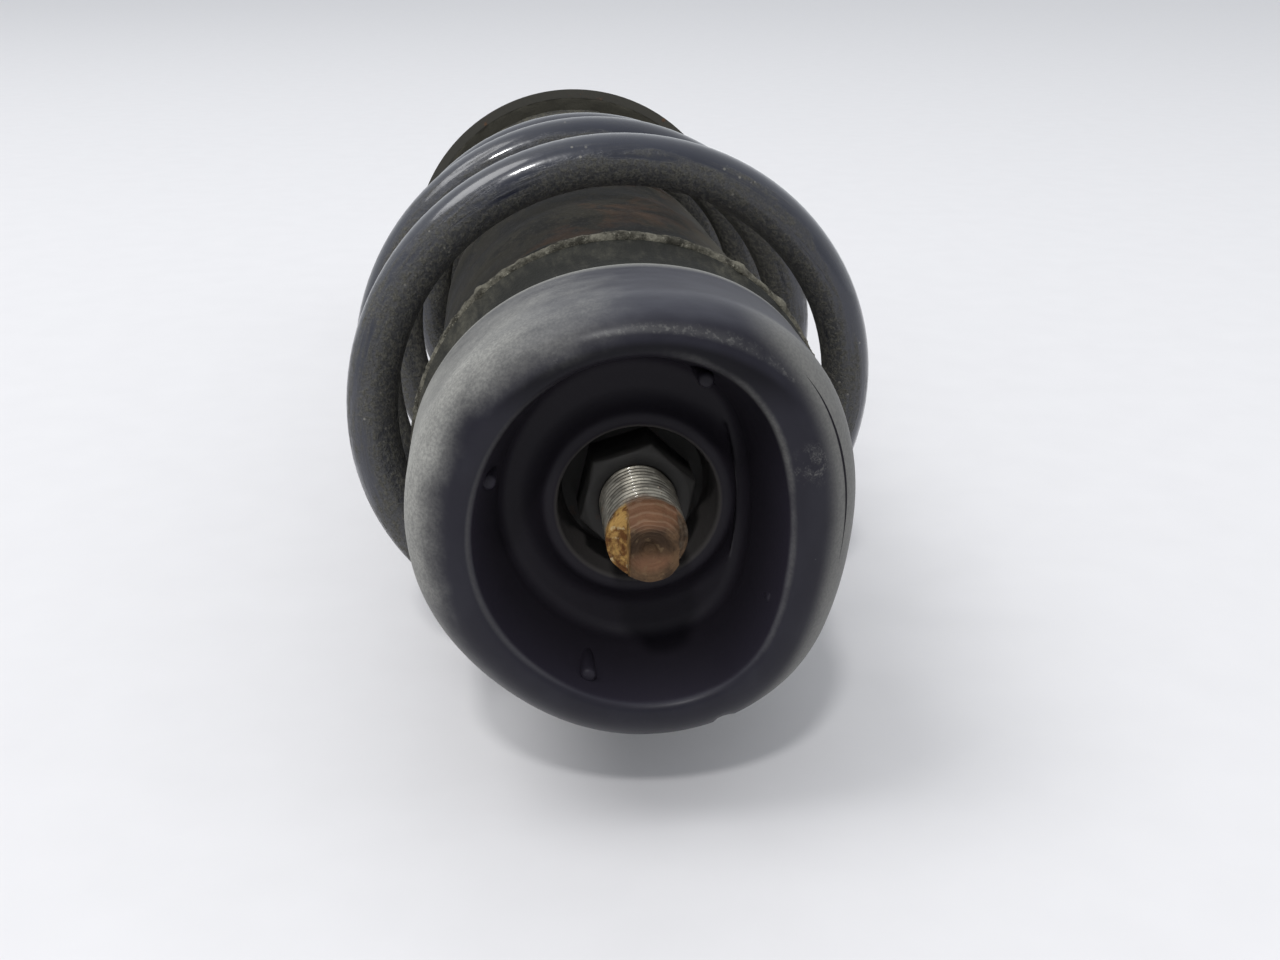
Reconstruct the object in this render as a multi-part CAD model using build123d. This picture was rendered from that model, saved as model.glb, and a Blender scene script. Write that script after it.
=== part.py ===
"""A coil-over suspension strut lying on its side: a damper with a coil spring between two spring seats.

Every piece is drawn on an upright axis: Z runs up the strut towards the rod's thread, +X is the side of the upper
seat's flat, and -Y is the side of the knuckle bracket's ears. A station is a distance in millimetres down the strut
from the top face of the rod nut, so a station s lies at Z = -s. The finished pieces are then laid down: the thread
points along -Y, the ears point down, and the origin is on the ground below the middle of the strut.
"""

from build123d import *
import os
from math import cos, radians, sin, tan

# Rod, and what is stacked on its thread
THREAD_R = 7.0
CLAMPED_R = 6.5
ROD_R = 10.0
ROD_TIP = -22.0
NOSE_START = -16.6
NOSE_R = 5.6
FLATS_START = -17.0
FLAT_LEFT = 3.4
FLAT_RIGHT = 4.8
CENTRE_DRILL_R = 1.1
COUNTERSINK_R = 2.7
NUT_FLATS = 19.0
NUT_HEIGHT = 11.0
NUT_TURN = 10.0
WASHER_R = 13.2
WASHER_THICK = 3.0
SHOULDER = 20.0
SPIGOT_R = 6.0
SPIGOT_START = 246.5
ROD_END = 278.0

# Upper spring seat, pressed from sheet
SHEET = 3.0
CREST = -17.0
RIM = 13.0
CROWN_R = 41.6
CROWN_ROUND = 10.0
CROWN_SIDE_R = 60.0
CROWN_SIDE_REACH = 37.0
CROWN_SIDE_TURN = -7.0
CROWN_CORNER = 16.0
MOUTH_R = 32.0
MOUTH_SHIFT = 1.7
MOUTH_SIDE_R = 54.0
MOUTH_SIDE_REACH = 24.9
MOUTH_SIDE_TURN = -2.0
MOUTH_CORNER = 9.0
FUNNEL_TAPER = 17.0
FUNNEL_FLOOR = 2.0
COLLAR_R = 17.4
CUP_R = 14.4
COLLAR_TOP = -1.0
CUP_FLOOR = NUT_HEIGHT + WASHER_THICK
PIP_R = 1.4
PIP_TOP = -13.0
PIP_LENGTH = 14.0
PIPS = ((28.0, 69.0), (28.0, 160.0), (29.4, 250.0), (27.0, 328.0))

# Coil spring: centre-line radius and station at knots of its turning angle
WIRE_R = 5.25
SPRING_GAP = 0.3
TOP_TURN_R = 34.0
BODY_R = 53.0
LOW_TURN_R = 40.0
UPPER_PAD = 31.0
LOWER_PAD = 227.1
TOP_TURN = UPPER_PAD + WIRE_R + SPRING_GAP
LOW_TURN = LOWER_PAD - WIRE_R - SPRING_GAP
ARC_STEP = 30
SPRING_KNOTS = (
    (-150, TOP_TURN_R, TOP_TURN),
    (75, TOP_TURN_R, TOP_TURN),
    (140, 48.4, 42.6),
    (200, 51.6, 48.2),
    (270, 52.7, 55.2),
    (340, 52.95, 62.8),
    (540, 52.95, 87.3),
    (610, 51.6, 96.6),
    (680, 48.9, 106.0),
    (750, 48.6, 114.5),
    (820, 49.6, 122.0),
    (900, 50.0, 130.5),
    (990, 47.0, 140.5),
    (1080, 44.6, 149.5),
    (1170, 44.2, 158.0),
    (1260, 43.6, 166.5),
    (1350, 41.0, 174.5),
    (1440, 39.6, 182.0),
    (1530, 39.2, 189.5),
    (1620, 39.2, 197.0),
    (1710, 39.4, 204.0),
    (1800, 39.6, 211.0),
    (1860, 39.9, 216.6),
    (1920, LOW_TURN_R, LOW_TURN),
    (2100, LOW_TURN_R, LOW_TURN),
)

# Rubber pads, boot and bump stop
PAD_BORE_R = 27.5
PAD_R = 40.0
PAD_TOP = FUNNEL_FLOOR + SHEET + 0.2
LIP_R = 41.8
LIP_END = 33.0
LIP_GAP = (-165.0, -70.0)
BOOT_WALL = 1.7
BOOT_NECK_R = 27.2
BOOT_TOP = 8.0
BOOT_FOLDS_START = 45.0
BOOT_FOLD_PITCH = 12.5
BOOT_FOLDS = 11
BOOT_VALLEY_R = 28.4
BOOT_PEAK_R = 33.4
BOOT_CUFF_R = 26.4
BOOT_END = 200.0
BUMP_END = 55.0

# Damper
TUBE_R = 24.0
TUBE_WALL = 2.5
TUBE_TOP = 175.3
TUBE_END = 414.0
SLIDE_GAP = 0.05
BORE_R = 16.0
BORE_WALL = 1.5
GUIDE_TOP = 190.0
GUIDE_STEP = 204.0
GUIDE_END = 212.0
BASE_TOP = 400.0
BASE_STEP = 404.0
CAP_TOP = 410.0
FIT = 0.05

# Lower spring seat
DISH_RIM = 217.0
DISH_FLOOR = 231.2
DISH_R = 50.8

# Knuckle bracket, hose bracket
BRACKET_TOP = 320.0
BRACKET_END = 410.0
PLATE = 4.5
EAR_GAP = 40.0
BOLT_R = 6.15
BOLT_DROP = 42.0
BOLT_STATIONS = (337.0, 393.0)
HOSE_STATION = 285.0
HOSE_REACH = 49.0
HOSE_PLATE = 3.0
CLIP_R = 3.3

# Lying down, the widest turn and the ears' tips touch the ground
AXIS_HEIGHT = BODY_R + WIRE_R
MIDDLE = (ROD_TIP + TUBE_END) / 2


def polar(radius, angle):
    return radius * cos(radians(angle)), radius * sin(radians(angle))


def turned(*corners):
    """A turned piece, from the (radius, station) corners of its closed half section."""
    section = Polyline(*[(r, 0, -s) for r, s in corners], close=True)
    return revolve(make_face(section), Axis.Z)


def ring(inner, outer, top, end):
    return turned((inner, top), (outer, top), (outer, end), (inner, end))


def disc(radius, top, end):
    return turned((0, top), (radius, top), (radius, end), (0, end))


def prism(sketch, top, end):
    """A sketch on the XY plane, drawn out between two stations."""
    return Pos(0, 0, -end) * extrude(sketch, amount=end - top)


# Rod assembly


def piston_rod():
    body = turned(
        (0, ROD_TIP), (NOSE_R, ROD_TIP), (THREAD_R, NOSE_START), (THREAD_R, 0), (CLAMPED_R, 0), (CLAMPED_R, SHOULDER),
        (ROD_R - 0.6, SHOULDER),
        (ROD_R, SHOULDER + 0.6), (ROD_R, SPIGOT_START), (SPIGOT_R, SPIGOT_START), (SPIGOT_R, ROD_END - 1),
        (SPIGOT_R - 1, ROD_END), (0, ROD_END),
    )
    tip = ROD_TIP - 1
    left = Pos(-FLAT_LEFT - THREAD_R, 0) * Rectangle(2 * THREAD_R, 2 * THREAD_R)
    right = Pos(FLAT_RIGHT + THREAD_R, 0) * Rectangle(2 * THREAD_R, 2 * THREAD_R)
    body -= prism(left, tip, FLATS_START) + prism(right, tip, FLATS_START + 1.2)
    sink = turned((0, tip), (COUNTERSINK_R + 0.5, tip), (0, tip + 2 * COUNTERSINK_R))
    return body - sink - disc(CENTRE_DRILL_R, tip, ROD_TIP + 5)


def rod_nut():
    corner = NUT_FLATS / 2 / cos(radians(30))
    hexagon = RegularPolygon(NUT_FLATS / 2, 6, major_radius=False, rotation=NUT_TURN)
    chamfer = (corner - NUT_FLATS / 2 + 0.3) * tan(radians(30))
    envelope = turned((0, 0), (NUT_FLATS / 2 - 0.3, 0), (corner, chamfer), (corner, NUT_HEIGHT), (0, NUT_HEIGHT))
    bore_mouth = turned((0, -1), (CLAMPED_R + 1.8, -1), (CLAMPED_R, 0.8), (0, 0.8))
    return (prism(hexagon, 0, NUT_HEIGHT) & envelope) - disc(CLAMPED_R + FIT, -1, NUT_HEIGHT + 1) - bore_mouth


def rod_washer():
    return ring(CLAMPED_R + FIT, WASHER_R, NUT_HEIGHT, CUP_FLOOR)


def shoulder_washer():
    return ring(CLAMPED_R + FIT, 15.5, CUP_FLOOR + SHEET, SHOULDER)


def d_shape(radius, shift, side_radius, side_reach, side_turn, corner):
    """Seen along the axis, a circle whose +X side is pressed in to an arc of larger radius."""
    side = Rot(0, 0, side_turn + 180) * Pos(side_radius - side_reach, 0) * Circle(side_radius)
    shape = Pos(shift, 0) * Circle(radius) & side
    return fillet(shape.vertices(), corner)


def crown_outline(inset):
    return d_shape(
        CROWN_R - inset, 0, CROWN_SIDE_R - inset, CROWN_SIDE_REACH - inset, CROWN_SIDE_TURN, CROWN_CORNER - inset,
    )


def crown_block(inset, top, end, rounding):
    block = prism(crown_outline(inset), top, end)
    return fillet(block.faces().sort_by(Axis.Z)[-1].edges(), rounding)


def funnel_outline(skin, station):
    """The tapering hollow's D shape at a station, wider than the hollow by skin."""
    wider = skin - (station - CREST) * tan(radians(FUNNEL_TAPER))
    return Pos(0, 0, -station) * d_shape(
        MOUTH_R + wider, MOUTH_SHIFT, MOUTH_SIDE_R + wider, MOUTH_SIDE_REACH + wider, MOUTH_SIDE_TURN, MOUTH_CORNER + wider,
    )


def funnel(skin, top, end):
    return loft([funnel_outline(skin, top), funnel_outline(skin, end)], ruled=True)


def pip(radius, angle):
    x, y = polar(radius, angle)
    peg = fillet(disc(PIP_R, PIP_TOP, PIP_TOP + PIP_LENGTH).edges().sort_by(Axis.Z)[-1], PIP_R * 0.6)
    return Pos(x, y, 0) * peg


def upper_spring_seat():
    """One pressing of even thickness: crown, tapering hollow, raised collar and the cup for the nut."""
    skin = SHEET / cos(radians(FUNNEL_TAPER))
    block = crown_block(0, CREST, RIM, CROWN_ROUND)
    back = crown_block(SHEET, CREST + SHEET, RIM + 1, CROWN_ROUND - SHEET)
    back -= funnel(skin, CREST - 1, FUNNEL_FLOOR + SHEET)
    pressing = block - back - funnel(0, CREST - 1, FUNNEL_FLOOR)
    cup = turned(
        (CUP_R + 0.8, COLLAR_TOP), (COLLAR_R - 0.8, COLLAR_TOP), (COLLAR_R, COLLAR_TOP + 0.8), (COLLAR_R, CUP_FLOOR + 1),
        (COLLAR_R - 2, CUP_FLOOR + SHEET), (THREAD_R + 0.2, CUP_FLOOR + SHEET), (THREAD_R + 0.2, CUP_FLOOR),
        (CUP_R, CUP_FLOOR), (CUP_R, COLLAR_TOP + 0.8),
    )
    pressing = pressing - disc(COLLAR_R - 1, CREST, RIM) + cup
    return pressing + [pip(radius, angle) for radius, angle in PIPS]


def upper_insulator():
    plug = prism(crown_outline(SHEET + 0.2), PAD_TOP, RIM + 0.2)
    pad = turned(
        (0, RIM + 0.2), (PAD_R, RIM + 0.2), (PAD_R, LIP_END - 5), (LIP_R, LIP_END - 2.2), (LIP_R, LIP_END - 0.6),
        (LIP_R - 0.6, LIP_END), (LIP_R - 1.6, LIP_END), (LIP_R - 2.1, LIP_END - 0.6), (LIP_R - 2.1, UPPER_PAD),
        (0, UPPER_PAD),
    )
    start, stop = LIP_GAP
    reach = 2 * LIP_R
    fan = [polar(reach, start + (stop - start) * k / 4) for k in range(5)]
    gap = prism(make_face(Polyline((0, 0), *fan, close=True)), UPPER_PAD, LIP_END + 1)
    return plug + pad - gap - disc(PAD_BORE_R, 0, LIP_END)


def bump_stop():
    return turned(
        (ROD_R + 0.1, 20.2), (20, 20.2), (20, 28), (15.5, 31.5), (19.2, 35), (19.2, 40), (14.5, 43.5), (17.2, 47),
        (16, BUMP_END), (ROD_R + 0.1, BUMP_END),
    )


def dust_boot():
    """A thin bellows: its neck sits in the upper pad's bore, its cuff on the top of the tube."""
    line = [(BOOT_NECK_R, BOOT_TOP), (BOOT_NECK_R, BOOT_FOLDS_START)]
    for fold in range(BOOT_FOLDS):
        start = BOOT_FOLDS_START + fold * BOOT_FOLD_PITCH
        line.append((BOOT_VALLEY_R, start + 2))
        line.append((BOOT_PEAK_R, start + BOOT_FOLD_PITCH / 2))
        line.append((BOOT_PEAK_R, start + BOOT_FOLD_PITCH / 2 + 2))
    line.append((BOOT_CUFF_R, BOOT_FOLDS_START + BOOT_FOLDS * BOOT_FOLD_PITCH))
    line.append((BOOT_CUFF_R, BOOT_END))
    inner = [(r - BOOT_WALL, s) for r, s in reversed(line)]
    return turned(*line, *inner)


# Spring and lower seat


def between_knots(angle):
    """The centre line's radius and station at a turning angle."""
    angle = min(max(angle, SPRING_KNOTS[0][0]), SPRING_KNOTS[-1][0])
    for (a0, r0, s0), (a1, r1, s1) in zip(SPRING_KNOTS, SPRING_KNOTS[1:]):
        if angle <= a1:
            share = (angle - a0) / (a1 - a0)
            return r0 + (r1 - r0) * share, s0 + (s1 - s0) * share


def spring_point(angle):
    """The wire's centre at a turning angle, which grows down the strut, clockwise seen from the thread."""
    near = [between_knots(angle + shift) for shift in range(-35, 36, 5)]
    radius, station = (sum(values) / len(near) for values in zip(*near))
    x, y = polar(radius, -angle)
    return Vector(x, y, -station)


def coil_spring():
    """Round wire along a chain of tangent arcs, each ARC_STEP degrees of a turn long."""
    first, last = SPRING_KNOTS[0][0], SPRING_KNOTS[-1][0]
    points = [spring_point(angle) for angle in range(first, last + 1, ARC_STEP)]
    heading = spring_point(first + 0.1) - points[0]
    arcs = []
    for start, end in zip(points, points[1:]):
        arcs.append(TangentArc(start, end, tangent=heading))
        heading = arcs[-1] % 1
    section = Plane(origin=points[0], z_dir=arcs[0] % 0) * Circle(WIRE_R)
    return sweep(section, path=Wire(arcs))


def lower_insulator():
    return ring(31, 44.2, LOWER_PAD, DISH_FLOOR)


def lower_spring_seat():
    """A pressed dish with a neck that is welded round the tube."""
    return turned(
        (DISH_R - 2.6, DISH_RIM), (DISH_R, DISH_RIM), (DISH_R - 3.2, DISH_FLOOR + 1.6), (DISH_R - 4.6, DISH_FLOOR + 2.8),
        (28.6, DISH_FLOOR + 2.8), (27.1, DISH_FLOOR + 4.6), (27.1, 249), (TUBE_R + FIT, 249),
        (TUBE_R + FIT, DISH_FLOOR + 3), (27.2, DISH_FLOOR), (DISH_R - 6.2, DISH_FLOOR), (DISH_R - 5.4, DISH_FLOOR - 1),
    )


# Damper


def strut_tube():
    return ring(TUBE_R - TUBE_WALL, TUBE_R, TUBE_TOP, TUBE_END)


def closing_ring():
    """The threaded ring that closes the tube, with four slots for a spanner."""
    body = ring(13.5, TUBE_R - TUBE_WALL - FIT, TUBE_TOP, TUBE_TOP + 7.7)
    for angle in range(45, 360, 90):
        x, y = polar(18.5, angle)
        body -= Pos(x, y, 0) * prism(Rot(0, 0, angle) * Rectangle(8, 4), TUBE_TOP - 1, TUBE_TOP + 3)
    return body


def rod_seal():
    inner = ROD_R + SLIDE_GAP
    return turned((inner, 184), (inner + 2.5, 183), (18, 183), (18, GUIDE_TOP), (inner + 1.5, GUIDE_TOP), (inner, 188.5))


def rod_guide():
    return turned(
        (11.3, GUIDE_TOP), (TUBE_R - TUBE_WALL - FIT, GUIDE_TOP), (TUBE_R - TUBE_WALL - FIT, GUIDE_STEP - 4),
        (19, GUIDE_STEP), (BORE_R - FIT, GUIDE_STEP), (BORE_R - FIT, GUIDE_END - 1), (BORE_R - 1, GUIDE_END), (11.3, GUIDE_END),
    )


def guide_bush():
    return ring(ROD_R + SLIDE_GAP, 11.3, GUIDE_TOP + 2, GUIDE_END - 2)


def pressure_tube():
    return ring(BORE_R, BORE_R + BORE_WALL, GUIDE_STEP, BASE_STEP)


def base_valve():
    body = turned(
        (0, BASE_TOP), (12, BASE_TOP), (BORE_R - FIT, BASE_TOP + 1), (BORE_R - FIT, BASE_STEP), (19.5, BASE_STEP),
        (19.5, BASE_STEP + 3), (16.5, CAP_TOP), (13.5, CAP_TOP), (12, BASE_STEP + 2), (0, BASE_STEP + 2),
    )
    for angle in range(0, 360, 60):
        x, y = polar(8.5, angle)
        body -= Pos(x, y, 0) * disc(1.4, BASE_TOP - 1, BASE_STEP + 3)
        x, y = polar(17, angle)
        body -= Pos(x, y, 0) * prism(Rot(0, 0, angle) * Rectangle(9, 5), BASE_STEP + 3, CAP_TOP + 1)
    return body


def bottom_cap():
    return turned(
        (0, CAP_TOP), (TUBE_R - TUBE_WALL - FIT, CAP_TOP), (TUBE_R - TUBE_WALL - FIT, TUBE_END), (18, TUBE_END),
        (15, TUBE_END - 1), (0, TUBE_END - 1),
    )


def rebound_stop():
    return turned(
        (ROD_R + FIT, GUIDE_END + 0.3), (13, GUIDE_END + 0.3), (14.4, GUIDE_END + 2), (14.4, 222), (13, 223.8), (ROD_R + FIT, 223.8),
    )


def rebound_collar():
    return ring(ROD_R + FIT, 13, 223.8, 227.5)


def valve_discs():
    return ring(SPIGOT_R + FIT, 11, SPIGOT_START, 249)


def piston():
    body = ring(SPIGOT_R + FIT, BORE_R - 0.6, 249, 267)
    body -= ring(BORE_R - 1.5, BORE_R, 253, 263)
    for angle in range(0, 360, 60):
        x, y = polar(10.2, angle)
        body -= Pos(x, y, 0) * disc(1.5, 248, 268)
    return body


def piston_band():
    return ring(BORE_R - 1.45, BORE_R - SLIDE_GAP, 253.1, 262.9)


def piston_nut():
    hexagon = RegularPolygon(9.5, 6, major_radius=False)
    return prism(hexagon, 267, 275) - disc(SPIGOT_R + FIT, 266, 276)


# Brackets


def clevis_section(width, wrap):
    """Seen along the axis: a wrap round the tube, running down into two ears."""
    ears = Pos(0, -AXIS_HEIGHT / 2) * Rectangle(width, AXIS_HEIGHT)
    return Circle(wrap) + ears


def knuckle_bracket():
    outer = prism(clevis_section(EAR_GAP + 2 * PLATE, TUBE_R + PLATE), BRACKET_TOP, BRACKET_END)
    slot = Circle(TUBE_R + FIT) + Pos(0, -AXIS_HEIGHT / 2 - 1) * Rectangle(EAR_GAP, AXIS_HEIGHT + 2)
    top, end = -BRACKET_TOP, -BRACKET_END
    side = Polyline(
        (32, top - 6), (0, top - 6), (-22, top), (-AXIS_HEIGHT, top - 8), (-AXIS_HEIGHT, end + 8), (-22, end),
        (0, end + 3), (32, end + 3), close=True,
    )
    side = fillet(make_face(Plane.YZ * side).vertices(), 5)
    body = (outer - prism(slot, BRACKET_TOP - 1, BRACKET_END + 1)) & extrude(side, amount=40, both=True)
    for station in BOLT_STATIONS:
        body -= Pos(0, -BOLT_DROP, -station) * Rot(0, 90, 0) * Cylinder(BOLT_R, 2 * EAR_GAP)
    return body


def bracket_stiffener():
    """A web between the ears, close under the tube, with a long hole."""
    web = Pos(0, -27.2, -(BRACKET_TOP + BRACKET_END) / 2) * Box(EAR_GAP - 0.1, 3, 70)
    hole = Rot(90, 0, 0) * extrude(SlotOverall(36, 14, rotation=90), amount=50, both=True)
    return web - Pos(0, 0, -(BRACKET_TOP + BRACKET_END) / 2) * hole


def hose_bracket():
    """A bent plate: a curved foot on the tube, and an arm with a round clip hole and an open slot."""
    arm = Pos(-(TUBE_R + HOSE_REACH) / 2 + 1, 0) * RectangleRounded(HOSE_REACH - TUBE_R + 2, 24, 4)
    arm += Pos(-TUBE_R, 0) * Rectangle(10, 24)
    arm -= Pos(-HOSE_REACH + 9, -4) * Circle(CLIP_R)
    arm -= Pos(-HOSE_REACH + 9, 8.5) * SlotOverall(18, 4)
    arm = prism(arm, HOSE_STATION, HOSE_STATION + HOSE_PLATE)
    foot = ring(0, TUBE_R + HOSE_PLATE, HOSE_STATION, HOSE_STATION + 22)
    foot &= Pos(-TUBE_R, 0, -HOSE_STATION - 11) * Box(24, 24, 22)
    return arm + foot - disc(TUBE_R + FIT, HOSE_STATION - 1, HOSE_STATION + 30)


PIECES = (
    piston_rod, rod_nut, rod_washer, shoulder_washer, upper_spring_seat, upper_insulator, bump_stop, dust_boot,
    rebound_stop, rebound_collar, valve_discs, piston, piston_band, piston_nut, coil_spring, lower_insulator,
    lower_spring_seat, strut_tube, closing_ring, rod_seal, rod_guide, guide_bush, pressure_tube, base_valve,
    bottom_cap, knuckle_bracket, bracket_stiffener, hose_bracket,
)

os.makedirs("parts", exist_ok=True)
lying = Location((0, -MIDDLE, AXIS_HEIGHT), (90, 0, 0))
for piece in PIECES:
    export_step(lying * piece(), f"parts/{piece.__name__}.step")
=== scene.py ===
# A used suspension strut that lies on its side, seen from its rod end: finished surfaces over the CAD frame.

import math

import bmesh
import bpy
import mathutils.noise
import numpy as np
from mathutils import Matrix, Vector

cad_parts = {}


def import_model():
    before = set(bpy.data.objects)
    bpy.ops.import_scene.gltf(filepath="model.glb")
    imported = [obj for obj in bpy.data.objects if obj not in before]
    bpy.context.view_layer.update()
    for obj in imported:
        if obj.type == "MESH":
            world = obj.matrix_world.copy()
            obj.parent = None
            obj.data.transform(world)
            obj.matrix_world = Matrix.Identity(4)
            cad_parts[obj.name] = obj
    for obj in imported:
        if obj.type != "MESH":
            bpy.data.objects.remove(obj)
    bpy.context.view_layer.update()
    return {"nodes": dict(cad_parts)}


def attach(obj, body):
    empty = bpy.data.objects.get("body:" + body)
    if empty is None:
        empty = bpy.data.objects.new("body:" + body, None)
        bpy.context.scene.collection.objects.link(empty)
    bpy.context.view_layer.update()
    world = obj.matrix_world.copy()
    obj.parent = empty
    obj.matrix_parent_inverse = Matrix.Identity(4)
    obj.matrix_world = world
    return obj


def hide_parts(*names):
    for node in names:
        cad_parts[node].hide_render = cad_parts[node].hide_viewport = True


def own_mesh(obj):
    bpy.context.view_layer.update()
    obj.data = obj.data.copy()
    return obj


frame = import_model()
nodes = frame["nodes"]

# A station is a distance in millimetres down the strut from the rod nut's top face.
# The strut lies along +Y; its axis is AXIS_HEIGHT above the ground, and station MIDDLE is at Y = 0.
MIDDLE = 196.0
AXIS_HEIGHT = 58.25

# Unless it is seeded, the noise that roughens shapes differs from run to run.
mathutils.noise.seed_set(7)


def at(radius, angle, station):
    """A point in metres, from a radius and an angle, anticlockwise from +X as seen from the thread."""
    a = math.radians(angle)
    return Vector((radius * math.cos(a), station - MIDDLE, AXIS_HEIGHT + radius * math.sin(a))) / 1000


# Shader maths


class Signal:
    """A socket that Python's operators work on."""

    def __init__(self, finish, socket):
        self.finish, self.socket = finish, socket

    def maths(self, operation, *values):
        node = self.finish.add("ShaderNodeMath", {"operation": operation}, dict(enumerate(values)))
        return Signal(self.finish, node.outputs[0])

    def __add__(self, other):
        return self.maths("ADD", self, other)

    def __radd__(self, other):
        return self.maths("ADD", other, self)

    def __sub__(self, other):
        return self.maths("SUBTRACT", self, other)

    def __rsub__(self, other):
        return self.maths("SUBTRACT", other, self)

    def __mul__(self, other):
        return self.maths("MULTIPLY", self, other)

    def __rmul__(self, other):
        return self.maths("MULTIPLY", other, self)

    def __truediv__(self, other):
        return self.maths("DIVIDE", self, other)

    def over(self, other):
        return self.maths("MAXIMUM", self, other)

    def under(self, other):
        return self.maths("MINIMUM", self, other)

    def root(self):
        return self.maths("SQRT", self)

    def sine(self):
        return self.maths("SINE", self)

    def step(self, low, high):
        """0 below low, 1 above high, and smooth between; low above high turns it round."""
        settings = {"interpolation_type": "SMOOTHSTEP"}
        if low > high:
            values = {"Value": self, "From Min": high, "From Max": low, "To Min": 1, "To Max": 0}
        else:
            values = {"Value": self, "From Min": low, "From Max": high, "To Min": 0, "To Max": 1}
        return Signal(self.finish, self.finish.add("ShaderNodeMapRange", settings, values).outputs[0])


class Finish:
    """A material whose nodes are added by one method."""

    def __init__(self, name):
        self.material = bpy.data.materials.new(name)
        self.material.use_nodes = True
        self.tree = self.material.node_tree
        self.tree.nodes.clear()
        self.place = self.out("ShaderNodeTexCoord", "Object")
        split = self.add("ShaderNodeSeparateXYZ", {}, {0: self.place})
        self.x, self.y, self.z = (Signal(self, split.outputs[k]) for k in range(3))
        facing = self.add("ShaderNodeSeparateXYZ", {}, {0: self.out("ShaderNodeNewGeometry", "Normal")})
        self.nx, self.ny, self.nz = (Signal(self, facing.outputs[k]) for k in range(3))

    def add(self, kind, settings, values):
        node = self.tree.nodes.new(kind)
        for key, value in settings.items():
            setattr(node, key, value)
        for key, value in values.items():
            if isinstance(value, Signal):
                self.tree.links.new(value.socket, node.inputs[key])
            else:
                node.inputs[key].default_value = value
        return node

    def out(self, kind, output, settings=None, values=None):
        return Signal(self, self.add(kind, settings or {}, values or {}).outputs[output])

    def attribute(self, name):
        return self.out("ShaderNodeAttribute", "Fac", {"attribute_name": name})

    def noise(self, scale, detail=3, rough=0.5, warp=0.0, place=None):
        values = {"Scale": scale, "Detail": detail, "Roughness": rough, "Distortion": warp}
        values["Vector"] = place or self.place
        return self.out("ShaderNodeTexNoise", "Fac", None, values)

    def cells(self, scale):
        return self.out("ShaderNodeTexVoronoi", "Distance", None, {"Vector": self.place, "Scale": scale})

    def down(self, low, high, ragged=None):
        """0 before station low and 1 after station high, or turned round; ragged is a shift in metres."""
        place = self.y + ragged if ragged else self.y
        return place.step((low - MIDDLE) / 1000, (high - MIDDLE) / 1000)

    def off_axis(self):
        """The height above the strut's axis and the distance from it, in metres."""
        up = self.z - AXIS_HEIGHT / 1000
        return up, (self.x * self.x + up * up).root()

    def place_of(self, *values):
        return self.out("ShaderNodeCombineXYZ", 0, None, dict(enumerate(values)))

    def stretch(self, x, y, z):
        return self.out("ShaderNodeMapping", 0, None, {"Vector": self.place, "Scale": (x, y, z)})

    def mix(self, share, first, second):
        """Colours, or colour signals, blended by a share from 0 to 1."""
        values = {"Factor": share, 6: self.colour(first), 7: self.colour(second)}
        return self.out("ShaderNodeMix", 2, {"data_type": "RGBA"}, values)

    @staticmethod
    def colour(value):
        return value if isinstance(value, Signal) else (*value, 1.0)

    def bump(self, height, strength, depth, normal=None):
        values = {"Height": height, "Strength": strength, "Distance": depth}
        if normal:
            values["Normal"] = normal
        return self.out("ShaderNodeBump", 0, None, values)

    def spot(self, radius, angle, station, size):
        """The distance from a point on the object, as a share of size."""
        values = {0: self.place, 1: at(radius, angle, station)}
        return self.out("ShaderNodeVectorMath", "Value", {"operation": "DISTANCE"}, values) / size

    def finish(self, **values):
        """The material, from values for the shader's sockets, named in lower case with underscores."""
        named = {key.replace("_", " ").title().replace("Ior", "IOR"): value for key, value in values.items()}
        shader = self.add("ShaderNodeBsdfPrincipled", {}, named)
        output = self.add("ShaderNodeOutputMaterial", {}, {})
        self.tree.links.new(shader.outputs[0], output.inputs[0])
        return self.material


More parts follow.
